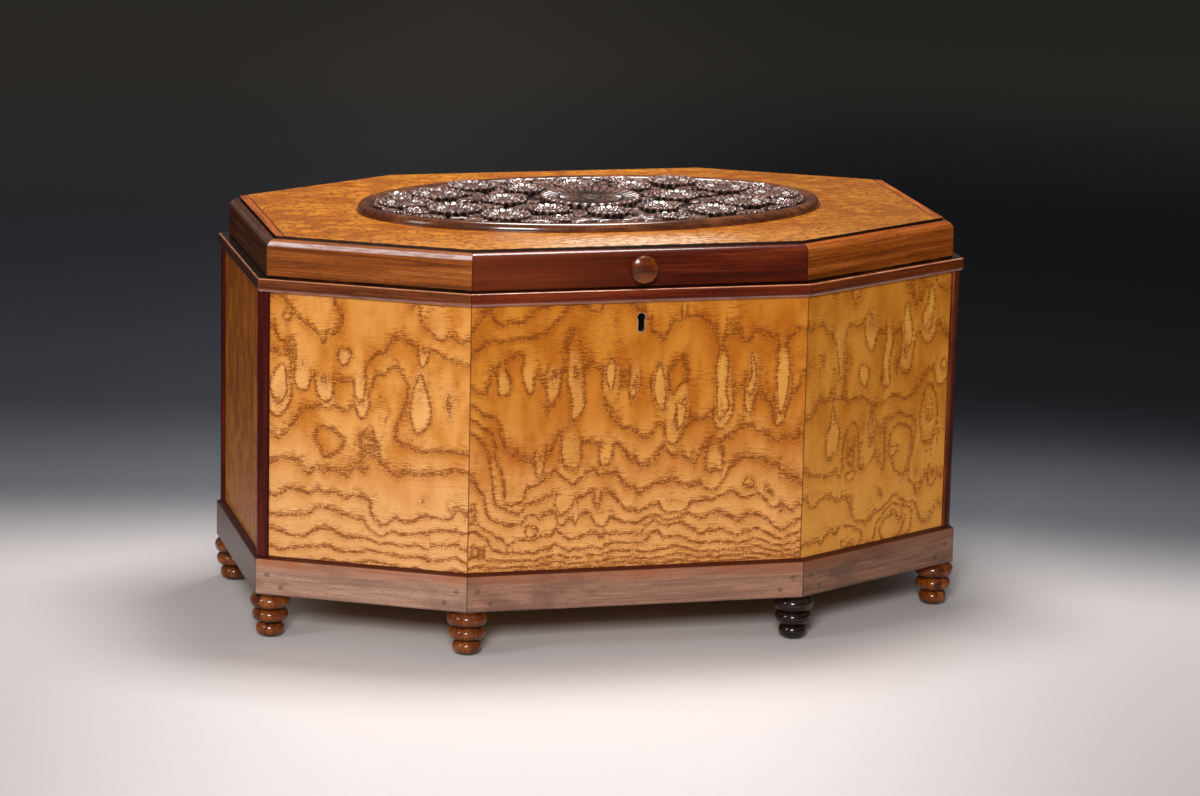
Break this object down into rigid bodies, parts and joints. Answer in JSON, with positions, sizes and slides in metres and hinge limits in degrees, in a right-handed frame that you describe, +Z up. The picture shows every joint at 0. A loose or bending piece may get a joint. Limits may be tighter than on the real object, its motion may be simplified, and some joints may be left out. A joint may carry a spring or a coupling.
{
  "type": "octagonal chest",
  "caption": "Octagonal veneered chest on turned feet, with a moulded plinth and rim, a hinged lid with a carved oval and a small knob, and a lock.",
  "frame": {"origin": "on the floor, under the middle of the octagon", "axes": "+X along the length, to the right seen from the front; -Y the front with the keyhole; +Z up"},
  "size_m": [0.565, 0.345, 0.3228],
  "materials": {
    "pine": "bare planed softwood, matt",
    "ash_veneer": "figured ash veneer, polished",
    "lid_veneer": "straight-grained ash veneer, polished",
    "faded_rosewood": "sun-faded rosewood, satin",
    "rosewood": "rosewood, polished",
    "dark_rosewood": "dark rosewood, polished",
    "carved_rosewood": "carved dark rosewood, glossy",
    "turned_rosewood": "turned rosewood, glossy",
    "brass": "aged brass",
    "steel": "filed steel"
  },
  "bodies": {
    "chest": {"base_board": "pine", "carcass_boards": "pine", "veneer_front": "ash_veneer", "veneer_front_right": "ash_veneer", "veneer_right_end": "ash_veneer", "veneer_back_right": "ash_veneer", "veneer_back": "ash_veneer", "veneer_back_left": "ash_veneer", "veneer_left_end": "ash_veneer", "veneer_front_left": "ash_veneer", "plinth_front": "faded_rosewood", "plinth_front_right": "faded_rosewood", "plinth_right_end": "faded_rosewood", "plinth_back_right": "faded_rosewood", "plinth_back": "faded_rosewood", "plinth_back_left": "faded_rosewood", "plinth_left_end": "faded_rosewood", "plinth_front_left": "faded_rosewood", "rim_front": "rosewood", "rim_front_right": "rosewood", "rim_right_end": "rosewood", "rim_back_right": "rosewood", "rim_back": "rosewood", "rim_back_left": "rosewood", "rim_left_end": "rosewood", "rim_front_left": "rosewood", "corner_bead_right_front": "dark_rosewood", "corner_bead_right_back": "dark_rosewood", "corner_bead_left_back": "dark_rosewood", "corner_bead_left_front": "dark_rosewood", "foot_front_left": "turned_rosewood", "foot_front_right": "turned_rosewood", "foot_right_front": "turned_rosewood", "foot_right_back": "turned_rosewood", "foot_back_right": "turned_rosewood", "foot_back_left": "turned_rosewood", "foot_left_back": "turned_rosewood", "foot_left_front": "turned_rosewood", "keyhole_lining": "brass", "lock_case": "brass", "lock_cap": "brass", "hinge_leaves_chest": "brass", "hinge_pins": "steel", "chest_screws": "brass"},
    "lid": {"lid_frame_front": "rosewood", "lid_frame_front_right": "rosewood", "lid_frame_right_end": "rosewood", "lid_frame_back_right": "rosewood", "lid_frame_back": "rosewood", "lid_frame_back_left": "rosewood", "lid_frame_left_end": "rosewood", "lid_frame_front_left": "rosewood", "lid_board": "dark_rosewood", "lid_veneer": "lid_veneer", "carved_oval": "carved_rosewood", "knob": "turned_rosewood", "hinge_leaves_lid": "brass", "link_plate": "brass", "lid_screws": "brass"},
    "bolt": {"lock_bolt": "steel"}
  },
  "joints": [
    {"name": "lid_hinge", "type": "hinge", "parent": "chest", "child": "lid", "pos_m": [0, 0.1641, 0.2811], "axis": [-1, 0, 0], "range_deg": [0, 100]},
    {"name": "bolt_slide", "type": "slide", "parent": "chest", "child": "bolt", "axis": [1, 0, 0], "range_m": [0, 0.005]}
  ]
}
